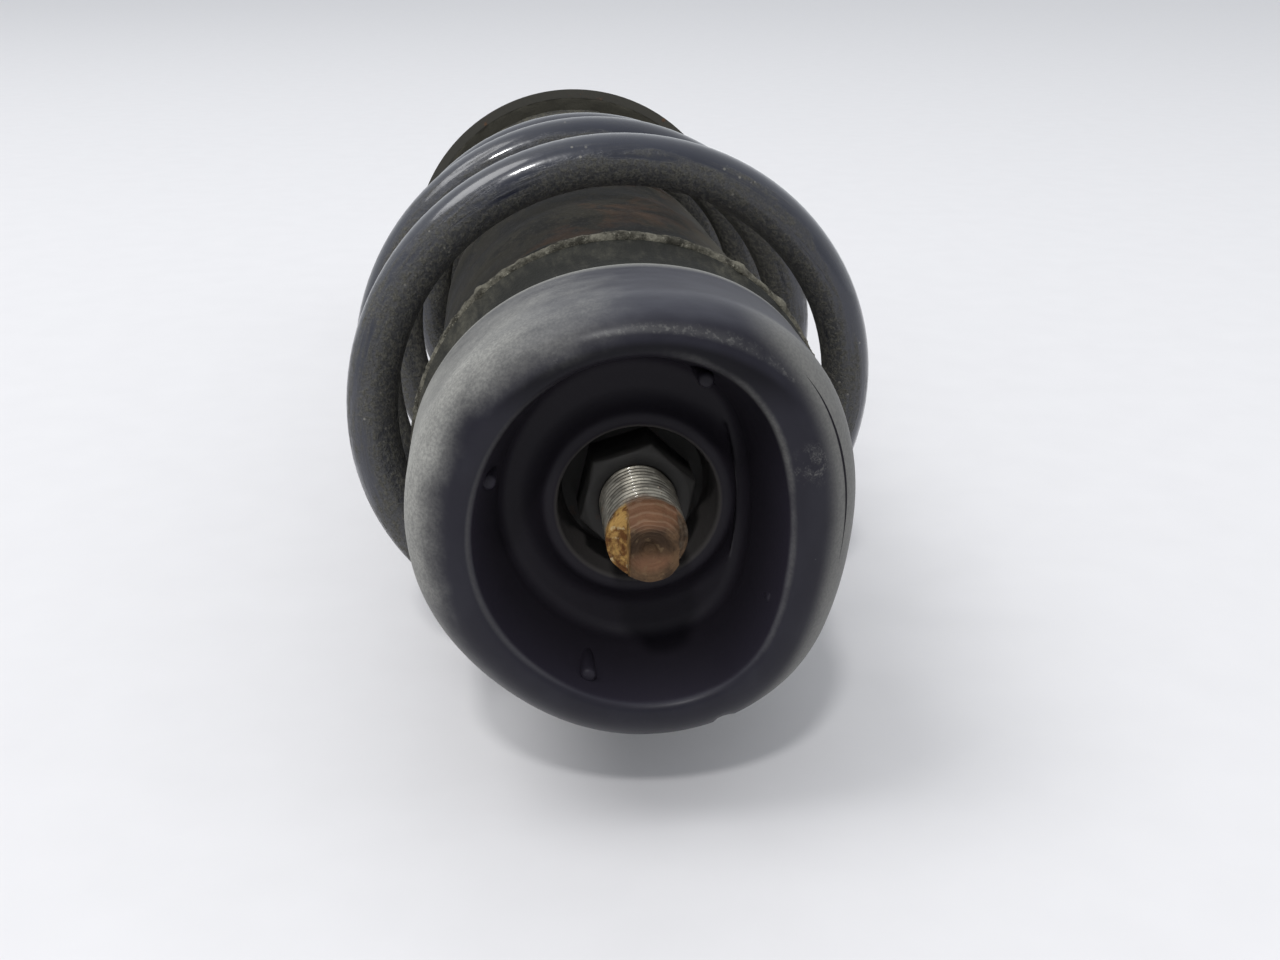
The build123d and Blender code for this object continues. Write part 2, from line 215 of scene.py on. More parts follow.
def spring_coating():
    """Blue-black powder coat: clean and glossy above, caked with road dust on the front and inside."""
    f = Finish("spring_coating")
    inward = f.attribute("inward")
    frontal = f.attribute("frontal")
    speckle = f.noise(1050, 4, 0.62)
    broad = f.noise(34, 3, 0.55)
    patch = f.noise(120, 5, 0.65, 0.6)
    fine = f.noise(2300, 3, 0.6)
    wound = f.place_of(f.attribute("along") * 55, inward * 5.0, frontal * 5.0)
    streak = f.noise(1.0, 5, 0.62, 0.4, place=wound)
    left = f.x.step(-0.020, -0.050)
    far = f.down(156, 206)
    cake = inward * 0.55 + frontal * 0.36 + broad * 1.1 + streak * 1.5 + patch * 0.5 + left * 0.15 + far * 0.4
    cake = (cake - f.nz * 0.30 - 1.84).step(0.0, 0.46).over(f.down(206, 214))
    dust = cake * (0.50 + 0.50 * speckle.step(0.42, 0.60))
    thin = (streak.step(0.46, 0.70) * 0.24 + left * 0.16) * (0.4 + 0.6 * fine.step(0.3, 0.7))
    chips = f.cells(420).step(0.15, 0.09) * f.noise(70, 2).step(0.56, 0.64)
    dust_colour = f.mix(fine.step(0.3, 0.7), (0.042, 0.040, 0.033), (0.100, 0.096, 0.082))
    pale = inward.step(0.5, 1.0) * far.over(f.down(56, 96)) * 0.8
    dust_colour = f.mix(pale, dust_colour, (0.150, 0.144, 0.122))
    dust_colour = f.mix(f.down(208, 216), dust_colour, (0.135, 0.128, 0.100))
    clean = f.mix(patch, (0.0045, 0.0060, 0.0145), (0.011, 0.014, 0.030))
    colour = f.mix(dust.over(thin), clean, dust_colour)
    colour = f.mix(chips * 0.8, colour, (0.20, 0.19, 0.165))
    rough = 0.24 + 0.3 * thin + 0.56 * dust + 0.08 * broad
    normal = f.bump(f.noise(240, 3, 0.5), 0.10, 0.0010)
    normal = f.bump(speckle * dust + fine * dust * 0.5, 0.45, 0.0006, normal)
    return f.finish(base_color=colour, roughness=rough.under(0.92), normal=normal, specular_ior_level=0.45,
                    coat_weight=0.75 - 0.75 * dust, coat_roughness=0.09)


def seat_coating():
    """Navy-black dip coat: dull in the hollow, glossy on the crown, dusty at the upper left."""
    f = Finish("seat_coating")
    hollow = f.attribute("hollow")
    rim_highlight = f.attribute("rim_highlight")
    worn = f.attribute("worn")
    up, radius = f.off_axis()
    patch = f.noise(42, 5, 0.62)
    smear = f.noise(9, 3, 0.5, place=f.stretch(14, 40, 9))
    fine = f.noise(1900, 3, 0.6)
    speckle = f.noise(1150, 4, 0.65)
    crown = 1 - hollow.step(0.0, 0.45)
    left = (f.nx * -1.0 + up * 7 + patch * 1.1 + smear * 0.3 - 0.98).step(0.0, 1.1) * crown
    brush = left * (0.84 + 0.16 * fine.step(0.3, 0.7))
    # Painted sheen: crown faces that point up are made paler and bluer, together with a thin smeared dust
    # film.
    top = f.nz.step(0.55, 0.97) * crown * (0.50 + 0.14 * smear.step(0.3, 0.7))
    # Painted reflection: crown faces that point right are lightened, as a reflection of the pale floor.
    edge = f.nx.step(0.30, 0.62) * crown * f.down(-18.6, -13.5) * f.down(-6.0, -8.5) * (0.25 + 0.38 * patch)
    line = radius.step(0.0354, 0.0363) * radius.step(0.0386, 0.0372) * f.ny.step(-0.70, -0.90)
    line = line * (up * 30 + patch * 0.4 + f.x * 9).step(0.95, 1.35) * patch.step(0.35, 0.55)
    line = line * (0.35 + 0.65 * speckle.step(0.50, 0.62))
    upper, lower = f.spot(36.8, 115.4, -16.2, 0.0032), f.spot(30.4, 23.5, -16.6, 0.0050)
    smudge = (upper.step(1.0, 0.5) + lower.step(1.0, 0.3)) * f.noise(420, 4, 0.65).step(0.42, 0.62) * crown
    smudge = smudge * (0.25 + 0.75 * f.noise(3200, 3, 0.6).step(0.48, 0.60))
    grit = speckle.step(0.72, 0.78) * (0.15 + 0.35 * crown)
    # Besides real dust, this carries the painted reflection on the crown's right and the painted highlight on
    # the back rim.
    dust = brush.over(edge).over(line * 0.30).over(smudge * 0.22).over(grit * 0.3).over(rim_highlight * 0.8).under(1.0)
    film_and_sheen = (0.02 + 0.05 * smear.step(0.4, 0.7) + 0.66 * top) * crown
    shade = up.step(0.020, 0.029) * radius.step(0.0350, 0.0335) * crown
    colour = f.mix(patch, (0.0044, 0.0037, 0.0084), (0.0080, 0.0071, 0.0150))
    colour = f.mix(shade * 0.7, colour, (0.0015, 0.0013, 0.0020))
    # Painted highlight: a thin pale band along the lower part of the crease.
    film_and_sheen = (film_and_sheen * (1 - shade)).over(worn * (0.05 + 0.22 * patch) * up.step(0.022, -0.004))
    deep = f.mix(patch, (0.0098, 0.0084, 0.0118), (0.0165, 0.0142, 0.0195))
    # Painted light and shade: beside the crease the hollow is lighter on its lower part and darker at the
    # top, under the crown.
    near = f.mix(up.step(0.004, 0.022), (0.0210, 0.0186, 0.0275), (0.0085, 0.0076, 0.0110))
    deep = f.mix(hollow.step(0.30, 1.0), near, deep)
    # Painted light: the cup round the nut is lightened against the shade between the nut and the cup's wall.
    deep = f.mix(radius.step(0.0153, 0.0147), deep, (0.052, 0.048, 0.046))
    colour = f.mix(hollow.step(0.0, 0.45), colour, deep)
    # The pale blue-grey here is a thin dust film plus painted sheen on the upward crown and a painted
    # highlight along the crease.
    colour = f.mix(film_and_sheen, colour, (0.090, 0.093, 0.112))
    colour = f.mix(dust, colour, f.mix(fine.step(0.35, 0.65), (0.30, 0.298, 0.275), (0.38, 0.376, 0.345)))
    rough = 0.36 + 0.12 * patch + 0.4 * dust + 0.12 * hollow + 0.1 * film_and_sheen
    rings = (radius * 2300).sine() * patch.step(0.4, 0.6) * hollow
    normal = f.bump(f.noise(70, 3, 0.5), 0.08, 0.002)
    normal = f.bump(speckle * 0.6 + fine * 0.3 + smudge * 1.5 + rings * 0.35, 0.14, 0.0003, normal)
    coat = (0.22 - 0.2 * dust) * crown * (1 - shade)
    return f.finish(base_color=colour, roughness=rough.under(0.85), normal=normal, specular_ior_level=0.17,
                    coat_weight=coat.over(0.0), coat_roughness=0.3)


def rod_steel():
    """Zinc-grey thread, rusted nose and hard-chromed rod, told apart by how far down the rod a point is."""
    f = Finish("rod_steel")
    streak = f.noise(330, 4, 0.6).step(0.6, 0.72) * f.down(0, -12) * 0.5
    rust = f.down(-12.5, -16.5, (f.noise(230, 4, 0.6) - 0.5) * 0.006).over(streak)
    patch = f.noise(260, 5, 0.65)
    fine = f.noise(1400, 3, 0.6)
    up, radius = f.off_axis()
    marks = (radius * 9000 + f.noise(300, 3) * 5.0).sine()
    crater = radius.step(0.0044, 0.0030)
    face = f.mix(patch.step(0.35, 0.65), (0.034, 0.019, 0.009), (0.098, 0.056, 0.028))
    # Painted shade: the upper half of the centre drilling is darkened.
    face = f.mix(crater * up.step(-0.0020, 0.0016) * 0.85, face, (0.024, 0.012, 0.005))
    face = f.mix(crater * up.step(0.0, -0.0024) * 0.6, face, (0.170, 0.080, 0.044))
    face = f.mix(up.step(0.0030, 0.0050) * 0.7, face, (0.165, 0.078, 0.042))
    face = f.mix(marks.step(0.3, 0.9) * up.step(0.0020, 0.005) * 0.3, face, (0.26, 0.175, 0.115))
    face = f.mix(f.noise(620, 4, 0.6).step(0.56, 0.68) * 0.4, face, (0.17, 0.115, 0.062))
    yellow = f.mix(f.noise(420, 4, 0.65).step(0.40, 0.60), (0.10, 0.038, 0.008), (0.36, 0.215, 0.065))
    yellow = f.mix(f.noise(700, 3).step(0.60, 0.70) * 0.6, yellow, (0.50, 0.42, 0.26))
    scale = f.mix(f.x.step(-0.0032, -0.0037), face, yellow)
    zinc = f.mix(patch.step(0.35, 0.7), (0.120, 0.110, 0.090), (0.32, 0.30, 0.25))
    chrome = f.down(24, 26)
    metal = f.mix(chrome, zinc, (0.62, 0.62, 0.60))
    colour = f.mix(rust, metal, scale)
    rough = (0.32 + 0.16 * patch) * (1 - chrome) + chrome * 0.12
    rough = rough * (1 - rust) + rust * (0.60 + 0.25 * patch)
    normal = f.bump(patch * rust + fine * 0.25 * rust + marks * 0.12 * rust + fine * 0.05, 0.6, 0.0006)
    metallic = (1 - rust) * (0.62 + 0.38 * chrome)
    return f.finish(base_color=colour, roughness=rough, metallic=metallic, normal=normal,
                    specular_ior_level=0.22, coat_weight=(1 - rust) * 0.5, coat_roughness=0.07)


def nut_steel():
    """Dark phosphated steel with dust in the corners and a little rust."""
    f = Finish("nut_steel")
    patch = f.noise(220, 4, 0.6)
    fine = f.noise(1600, 3, 0.6)
    rust = f.noise(160, 4, 0.6).step(0.60, 0.74) * 0.5
    colour = f.mix(patch, (0.013, 0.0125, 0.0125), (0.042, 0.040, 0.037))
    colour = f.mix(rust, colour, (0.060, 0.030, 0.016))
    normal = f.bump(patch + fine * 0.4, 0.3, 0.0003)
    return f.finish(base_color=colour, roughness=0.5 + 0.3 * patch, metallic=0.2, normal=normal,
                    specular_ior_level=0.28)


def pad_rubber():
    """Aged black rubber, its wall streaked with grey-brown dust where it shows behind the seat."""
    f = Finish("pad_rubber")
    patch = f.noise(110, 5, 0.65)
    streak = f.noise(60, 4, 0.6, place=f.stretch(9, 1.2, 9))
    fine = f.noise(1300, 4, 0.65)
    left = f.x.step(-0.015, -0.032)
    dust = (patch * 1.1 + streak * 0.9 + left * 0.2 - 0.92).step(0.0, 0.60)
    dust = dust * (0.45 + 0.55 * fine.step(0.35, 0.65))
    colour = f.mix(dust, (0.010, 0.010, 0.0075), (0.070, 0.067, 0.052))
    normal = f.bump(f.noise(420, 4, 0.7) + streak * 0.8 + fine * 0.5, 0.5, 0.0008)
    return f.finish(base_color=colour, roughness=0.66 + 0.28 * dust, normal=normal, specular_ior_level=0.25)


def crumbled_rubber():
    """The pad's lip, bleached and crumbling."""
    f = Finish("crumbled_rubber")
    patch = f.noise(300, 5, 0.7)
    fine = f.noise(1700, 3, 0.65)
    colour = f.mix(patch.step(0.35, 0.62), (0.030, 0.028, 0.021), (0.155, 0.146, 0.115))
    colour = f.mix(fine.step(0.58, 0.68) * 0.6, colour, (0.30, 0.285, 0.235))
    normal = f.bump(f.noise(900, 4, 0.75) + f.cells(700) * 0.6, 0.8, 0.0010)
    return f.finish(base_color=colour, roughness=0.92, normal=normal, specular_ior_level=0.25)


def boot_rubber():
    """Dark bellows rubber under dried dirt, with rust-brown blotches on top and dust on the right."""
    f = Finish("boot_rubber")
    patch = f.noise(85, 6, 0.68).step(0.30, 0.70)
    blot = (f.noise(46, 5, 0.65, 0.8) + f.x * 4.0).step(0.48, 0.62)
    fine = f.noise(1300, 3, 0.6)
    colour = f.mix(patch.step(0.35, 0.65), (0.0055, 0.0050, 0.0036), (0.019, 0.017, 0.012))
    colour = f.mix(f.x.step(0.016, 0.030) * (0.4 + 0.5 * patch), colour, (0.085, 0.080, 0.065))
    colour = f.mix(blot * (0.25 + 0.6 * patch) * f.x.step(0.028, 0.014), colour, (0.056, 0.029, 0.015))
    colour = f.mix(fine.step(0.52, 0.72) * 0.32, colour, (0.085, 0.078, 0.062))
    normal = f.bump(f.noise(260, 4, 0.6) + fine * 0.3, 0.3, 0.0006)
    return f.finish(base_color=colour, roughness=0.66 + 0.25 * patch, normal=normal, specular_ior_level=0.25)


def tube_paint(name, brown, wear, cake=0.0):
    """Satin black paint over steel, with rust freckles where it is worn and dirt caked towards the rod."""
    f = Finish(name)
    patch = f.noise(45, 5, 0.62)
    fine = f.noise(900, 4, 0.65)
    freckle = f.cells(260).step(0.22, 0.10) * f.noise(30, 3).step(0.62 - wear * 0.2, 0.72 - wear * 0.2)
    rust = (f.noise(90, 6, 0.7).step(0.66 - wear * 0.14, 0.74 - wear * 0.1)).over(freckle)
    dust = patch.step(0.35, 0.75) * f.nz.step(-0.1, 0.9) * (0.25 + 0.35 * fine)
    dust = dust.over(f.ny.step(0.2, -0.5) * cake * (0.45 + 0.55 * fine))
    colour = f.mix(patch, (0.010, 0.010, 0.011), (0.024, 0.022, 0.021))
    colour = f.mix(dust, colour, brown)
    colour = f.mix(rust, colour, f.mix(fine.step(0.35, 0.65), (0.060, 0.022, 0.009), (0.20, 0.085, 0.030)))
    normal = f.bump(patch * 0.5 + fine * 0.15 + rust * fine * 0.8, 0.3, 0.0008)
    return f.finish(base_color=colour, roughness=0.38 + 0.2 * patch + 0.35 * rust.over(dust), normal=normal)


def weld_steel():
    """Dark weld metal, half rusted."""
    f = Finish("weld_steel")
    patch = f.noise(400, 4, 0.6)
    rust = f.noise(140, 4, 0.6).step(0.48, 0.62)
    colour = f.mix(patch, (0.014, 0.013, 0.013), (0.04, 0.037, 0.034))
    colour = f.mix(rust * 0.8, colour, f.mix(patch, (0.055, 0.022, 0.010), (0.17, 0.075, 0.028)))
    return f.finish(base_color=colour, roughness=0.5 + 0.25 * patch, normal=f.bump(patch, 0.3, 0.0004))


def plain_finish(name, dark, light, rough, metallic, scale=120.0, depth=0.0003):
    """The finish of a sealed inner piece: its colour, a little variation and a fine surface."""
    f = Finish(name)
    patch = f.noise(scale, 4, 0.6)
    normal = f.bump(f.noise(scale * 8, 3, 0.6), 0.25, depth)
    colour = f.mix(patch, dark, light)
    return f.finish(base_color=colour, roughness=rough + 0.12 * patch, metallic=metallic, normal=normal)


SPRING = spring_coating()
SEAT = seat_coating()
ROD = rod_steel()
NUT = nut_steel()
PAD = pad_rubber()
LIP = crumbled_rubber()
BOOT = boot_rubber()
TUBE = tube_paint("tube_paint", (0.10, 0.092, 0.08), 0.0)
DISH = tube_paint("dish_paint", (0.066, 0.062, 0.048), 0.3, 0.95)
BRACKET = tube_paint("bracket_paint", (0.10, 0.09, 0.075), 0.35)
WELD = weld_steel()
DIRT = plain_finish("dried_mud", (0.050, 0.046, 0.034), (0.105, 0.099, 0.076), 0.85, 0.0, 140.0, 0.0008)
BARE = plain_finish("oiled_steel", (0.30, 0.30, 0.29), (0.46, 0.45, 0.44), 0.26, 1.0)
IRON = plain_finish("sintered_iron", (0.13, 0.125, 0.12), (0.24, 0.23, 0.22), 0.48, 0.9, 500.0)
BRONZE = plain_finish("bush_bronze", (0.42, 0.27, 0.12), (0.58, 0.40, 0.20), 0.3, 1.0)
SEAL = plain_finish("seal_rubber", (0.012, 0.012, 0.012), (0.03, 0.03, 0.03), 0.55, 0.0)
FOAM = plain_finish("stop_foam", (0.30, 0.22, 0.10), (0.48, 0.38, 0.20), 0.85, 0.0, 900.0, 0.0008)
PLASTIC = plain_finish("band_plastic", (0.05, 0.07, 0.055), (0.09, 0.12, 0.09), 0.45, 0.0)

FINISHES = {
    "piston_rod": ROD, "rod_nut": NUT, "rod_washer": NUT, "shoulder_washer": NUT,
    "upper_spring_seat": SEAT, "upper_insulator": PAD, "coil_spring": SPRING, "dust_boot": BOOT,
    "bump_stop": FOAM, "lower_insulator": PAD, "lower_spring_seat": DISH, "strut_tube": TUBE,
    "closing_ring": TUBE, "bottom_cap": TUBE, "knuckle_bracket": BRACKET, "bracket_stiffener": BRACKET,
    "hose_bracket": BRACKET, "rebound_stop": SEAL, "rebound_collar": BARE, "valve_discs": BARE,
    "piston_nut": BARE, "pressure_tube": BARE, "piston": IRON, "base_valve": IRON, "rod_guide": IRON,
    "guide_bush": BRONZE, "rod_seal": SEAL, "piston_band": PLASTIC,
}
for name, material in FINISHES.items():
    mesh = nodes[name].data
    mesh.materials.clear()
    mesh.materials.append(material)


# Meshes


def show(name, data):
    """An object in the scene that holds a mesh, a lamp or a camera."""
    holder = bpy.data.objects.new(name, data)
    bpy.context.scene.collection.objects.link(holder)
    return holder


def new_piece(name, points, faces, material, body):
    """A smooth mesh from points in metres, riding on a body."""
    mesh = bpy.data.meshes.new(name)
    mesh.from_pydata(points, [], faces)
    mesh.materials.append(material)
    mesh.shade_smooth()
    piece = show(name, mesh)
    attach(piece, body)
    return piece


def grid_faces(rows, columns, wrap_rows=False):
    """Quads between rows of points, each row closed on itself."""
    faces = []
    for i in range(rows if wrap_rows else rows - 1):
        j = (i + 1) % rows
        for k in range(columns):
            m = (k + 1) % columns
            faces.append((i * columns + k, i * columns + m, j * columns + m, j * columns + k))
    return faces


def store(piece, name, values):
    """Gives the piece's points a value each, for its material to read."""
    layer = piece.data.attributes.new(name, "FLOAT", "POINT")
    layer.data.foreach_set("value", np.asarray(values, np.float32))


def outside(piece, close_ends=False):
    """Turns every face outwards, once its open ends are closed where that is asked."""
    work = bmesh.new()
    work.from_mesh(piece.data)
    if close_ends:
        bmesh.ops.holes_fill(work, edges=[e for e in work.edges if e.is_boundary])
    bmesh.ops.recalc_face_normals(work, faces=work.faces)
    work.to_mesh(piece.data)
    work.free()
    return piece


def round_points(radius, station, angle):
    """Points in metres from arrays of radius, station and angle in degrees."""
    radius, station, a = np.broadcast_arrays(radius, station, np.radians(angle))
    return np.stack([radius * np.cos(a), station - MIDDLE, AXIS_HEIGHT + radius * np.sin(a)], -1) / 1000


def lathe(name, rows, material, body, closed=True):
    """A piece from rounds of points, the last joined to the first; if not closed, its ends are filled."""
    rows = np.asarray(rows)
    count, columns = rows.shape[:2]
    faces = grid_faces(count, columns, closed)
    piece = new_piece(name, rows.reshape(-1, 3).tolist(), faces, material, body)
    return outside(piece, close_ends=not closed)


def roughened(points, size, depth, seed):
    """Points in metres, moved each way by fractal noise of a size and depth in millimetres."""
    points = np.asarray(points)
    shift = Vector((seed * 7.3, seed * 3.1, seed * 5.7))
    moved = []
    for p in map(Vector, points.reshape(-1, 3)):
        noise = mathutils.noise.turbulence_vector(p * 1000 / size + shift, 3, False)
        moved.append(p + depth / 1000 * Vector(noise))
    return np.array(moved).reshape(points.shape)


# Upper spring seat: radii and stations in millimetres, angles in degrees as at() takes them

ROUND = np.arange(0, 360, 1.5)
WALL_RADIUS = (
    (0, 37.3), (12, 38.1), (24, 39.0), (34, 40.1), (45, 41.0), (60, 41.4), (75, 40.9), (90, 40.5),
    (103, 40.5), (120, 41.0), (140, 41.4), (158, 41.5), (180, 40.9), (200, 40.5), (215, 40.0), (228, 39.8),
    (240, 40.1), (252, 40.8), (265, 41.4), (280, 41.6), (295, 41.6), (308, 41.4), (318, 40.7), (328, 39.0),
    (340, 37.7), (350, 37.1),
)
CREASE_RADIUS = (
    (0, 24.9), (14, 25.2), (28, 26.3), (42, 28.4), (54, 30.1), (66, 31.2), (80, 32.0), (98, 32.1),
    (112, 31.9), (130, 31.3), (148, 30.4), (168, 29.9), (190, 29.9), (212, 30.2), (232, 30.7), (250, 31.6),
    (270, 32.2), (290, 32.3), (304, 31.6), (318, 29.3), (332, 26.8), (346, 25.3),
)
RIM = 13.0
SHEET = 3.0
CREST = -17.0
CROWN_ROUND = 10.0
CREASE_ROUND = 2.2
CREASE_OFFSET = 1.5
SLOPE_TAPER = 4.6
SLOPE_END = -1.0
FOOT_ROUND = 2.6
HOLLOW_FLOOR = 2.0
FLOOR_R = 21.2
COLLAR_R = 17.6
COLLAR_FOOT = ((20.3, 1.85), (19.5, 1.5), (18.7, 0.95), (18.0, 0.3))
COLLAR_AND_CUP = (
    (17.5, -0.3), (17.1, -0.7), (16.6, -0.95), (15.6, -1.0), (15.0, -0.85), (14.55, -0.4), (14.4, 0.3),
    (14.4, 13.2), (13.9, 13.85), (13.2, 14.0), (7.2, 14.0), (7.2, 17.0), (15.4, 17.0), (17.4, 15.2),
    (17.4, 5.0), (20.0, 5.0),
)
NICK_ANGLE, NICK_HALF_WIDTH, NICK_DEPTH = 290.6, 2.6, 0.55
NICK_STATION, NICK_REACH = -8, 8


def smooth_round(knots, ease=10):
    """Values at the angles in ROUND from knots round the circle, averaged over a few degrees."""
    angles, values = np.array(knots).T
    window = np.linspace(-ease, ease, 9)
    return np.mean([np.interp(ROUND + w, angles, values, period=360) for w in window], axis=0)


def nicked(radius, station):
    """The seat's outer radius with the small dent in the lower edge of its crown."""
    nick = NICK_DEPTH * np.clip(1 - np.abs(ROUND - NICK_ANGLE) / NICK_HALF_WIDTH, 0, 1) ** 0.35
    return radius - nick * np.clip((NICK_REACH - np.abs(np.asarray(station) - NICK_STATION)) / 2, 0, 1)


def upper_seat():
    """The pressing as one closed skin: wall, crown, crease, tapering hollow, floor, collar and cup."""
    wall, crease = smooth_round(WALL_RADIUS), smooth_round(CREASE_RADIUS)
    crest = crease + CREASE_OFFSET
    foot = crease - SLOPE_TAPER
    rows = [(wall - 0.5, RIM), (wall - 0.12, RIM - 0.2), (wall, RIM - 0.7)]
    rows += [(wall, s) for s in np.linspace(11.5, -6, 9)]
    for a in np.radians(np.linspace(0, 90, 15))[1:]:
        rows.append((crest + (wall - crest) * np.cos(a), CREST + CROWN_ROUND * (1 - np.sin(a))))
    crest_row = len(rows)
    for a in np.radians(np.linspace(10, 76, 9)):
        rows.append((crest - CREASE_ROUND * np.sin(a), CREST + CREASE_ROUND * (1 - np.cos(a))))
    last, end = rows[-1]
    rows += [(last + (foot - last) * k, end + (SLOPE_END - end) * k) for k in np.linspace(0.05, 1, 14)]
    foot_row = len(rows)
    inner = foot - FOOT_ROUND
    for a in np.radians(np.linspace(0, 90, 7))[1:]:
        depth = (HOLLOW_FLOOR - SLOPE_END) * np.sin(a)
        rows.append((inner + FOOT_ROUND * np.cos(a), SLOPE_END + depth))
    edge = np.minimum(FLOOR_R, np.maximum(inner, COLLAR_R))
    rows += [(inner + (edge - inner) * k, HOLLOW_FLOOR) for k in (0.5, 1.0)]
    rows += [(np.minimum(edge, r), s) for r, s in COLLAR_FOOT]
    rows += COLLAR_AND_CUP
    rows += [(inner + 3.0, 5.0), (foot + 3.2, -0.5), (crease + 3.2, CREST + SHEET)]
    rows += [(wall - SHEET, CREST + SHEET), (wall - SHEET, RIM - 0.4)]
    nicked_rows, uneven_rows = crest_row + 4, crest_row + 19
    points = np.array([
        round_points(nicked(radius, station) if k < nicked_rows else radius, station, ROUND)
        for k, (radius, station) in enumerate(rows)
    ])
    points[:uneven_rows] = roughened(points[:uneven_rows], 30, 0.10, 1)
    piece = lathe("pressed_seat", points, SEAT, "rod_assembly")
    row = np.repeat(np.arange(len(rows)), len(ROUND))
    store(piece, "hollow", np.interp(row, (crest_row, crest_row + 8, foot_row), (0, 0.45, 1)))
    # Painted highlight: rows on the crease's rounding, for a thin pale line there.
    store(piece, "worn", np.exp(-((row - crest_row - 5) / 1.1) ** 2))
    # Painted highlight: the outer rows of the back rim and the last row carry a thin pale line.
    store(piece, "rim_highlight", np.interp(row, (0, 2.6, 3.6), (1, 1, 0)) + (row == len(rows) - 1))
    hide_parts("upper_spring_seat")


# Each pip's distance from the axis, its angle and the station of its top.
PIPS = ((28.2, 69, -13), (28.0, 160, -12.6), (29.4, 250, -13), (27.0, 328, -12.4))
# A pip's own radius, and how far below its top it has it.
PIP_PROFILE = ((0.05, -0.02), (0.7, 0), (1.1, 0.14), (1.36, 0.5), (1.42, 1.4), (1.42, 14))


def seat_pips():
    """Four short pegs that stand out of the hollow's slope."""
    around = np.arange(0, 360, 20)
    for number, (radius, angle, top) in enumerate(PIPS):
        shift = np.array(at(radius, angle, 0) - at(0, 0, 0))
        rows = [round_points(r, top + s, around) + shift for r, s in PIP_PROFILE]
        piece = lathe(f"seat_pip_{number + 1}", rows, SEAT, "rod_assembly", closed=False)
        store(piece, "hollow", np.full(len(piece.data.vertices), 0.6))


# Rod nut

NUT_HALF_FLATS = 9.5
NUT_FACE_R = 9.2
NUT_BORE_R = 6.55
NUT_HEIGHT = 11.0
NUT_TURN = 17
CHAMFER_SLOPE = 1.732


def rod_nut():
    """A hexagon nut, its corners chamfered at 30 degrees on the outer face."""
    around = np.arange(0, 360, 1.0)
    flats = NUT_HALF_FLATS / np.cos(np.radians((around - NUT_TURN) % 60 - 30))
    rows = [(NUT_BORE_R, 1.2), (7.1, 0.15), (7.4, 0.0), (8.4, 0.0), (np.minimum(flats, NUT_FACE_R), 0.0)]
    for s in (0.2, 0.45, 0.7, 0.95):
        rows.append((np.minimum(flats - 0.05, NUT_FACE_R + CHAMFER_SLOPE * s), s))
    rows += [(flats, 1.3), (flats, NUT_HEIGHT - 0.3), (flats - 0.2, NUT_HEIGHT), (NUT_BORE_R, NUT_HEIGHT)]
    points = np.array([round_points(r, s, around) for r, s in rows])
    piece = lathe("hexagon_nut", points, NUT, "rod_assembly")
    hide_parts("rod_nut")


# Piston rod

THREAD_R = 7.0
THREAD_PITCH = 1.5
THREAD_DEPTH = 0.86
THREAD_START = -15.8
FLATS_START = -17.0
FLAT_LEFT, FLAT_RIGHT = 3.4, 4.8
CENTRE_DRILLING = (
    (0.2, -20.1), (0.8, -20.15), (1.2, -20.4), (1.5, -20.9), (1.9, -21.1), (2.6, -21.15), (3.2, -21.3),
    (3.7, -21.6), (4.1, -21.9), (4.5, -22.0), (4.9, -22.0), (5.2, -22.0),
)
SHANK = (
    (6.5, 0.5), (6.5, 20.0), (9.4, 20.0), (10.0, 20.6), (10.0, 246.5), (6.0, 246.5), (6.0, 277.0),
    (5.0, 278.0),
)


def piston_rod():
    """Corroded nose with two flats and a centre drilling, right-hand thread, and the plain rod."""
    around = np.arange(0, 360, 3.0)
    rows = []

    def add(radius, station, left=FLAT_LEFT, right=FLAT_RIGHT):
        points = round_points(radius, station, around)
        points[:, 0] = np.clip(points[:, 0], -left / 1000, right / 1000)
        rows.append(points)

    for r, s in CENTRE_DRILLING:
        add(r, s)
    for k in np.linspace(0, 1, 34):
        add(5.45 + 1.55 * k, -21.85 + 4.85 * k)
    for k in np.linspace(0, 1, 8):
        add(THREAD_R, FLATS_START + (THREAD_START - FLATS_START) * k, left=math.inf)
    nose = len(rows)
    for s in np.arange(THREAD_START, 0.4, 0.125):
        phase = (s / THREAD_PITCH + around / 360) % 1
        flank = np.clip((0.5 - np.abs(phase - 0.5)) * 2 * 1.33 - 0.16, 0, 1)
        fade = min(1.0, max(0.0, (s - THREAD_START) / 1.6))
        add(THREAD_R - THREAD_DEPTH * (1 - flank) * fade, s, math.inf, math.inf)
    for r, s in SHANK:
        add(r, s, math.inf, math.inf)
    points = np.array(rows)
    points[3:nose] = roughened(points[3:nose], 2.6, 0.20, 4)
    piece = lathe("threaded_rod", points, ROD, "rod_assembly", closed=False)
    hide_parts("piston_rod")


# Rubber pad, its lip, bellows and dried mud

PAD_R = 39.9
PAD_BORE_R = 27.6
# How far the pad's plug lies inside the seat's wall.
PLUG_INSET = 3.4
# The flare is missing between these angles.
NO_FLARE = (195, 290)
LIP_SECTION = (
    (-1.9, 31.4), (-1.9, 32.6), (-1.5, 33.4), (-0.9, 33.7), (-0.3, 33.5), (0.0, 32.9), (0.05, 32.2),
    (-0.1, 31.5), (-0.6, 31.0), (-1.3, 30.9),
)
LIP_STATION = 32.3
# The radius that the lip reaches at an angle; it runs from LIP_START to LIP_END.
LIP_REACH = ((-68, 41.8), (20, 41.8), (45, 41.9), (90, 42.4), (150, 41.6), (178, 42.0))
LIP_START, LIP_END = -68, 194
LUMP_ANGLES = (42, 57, 131)


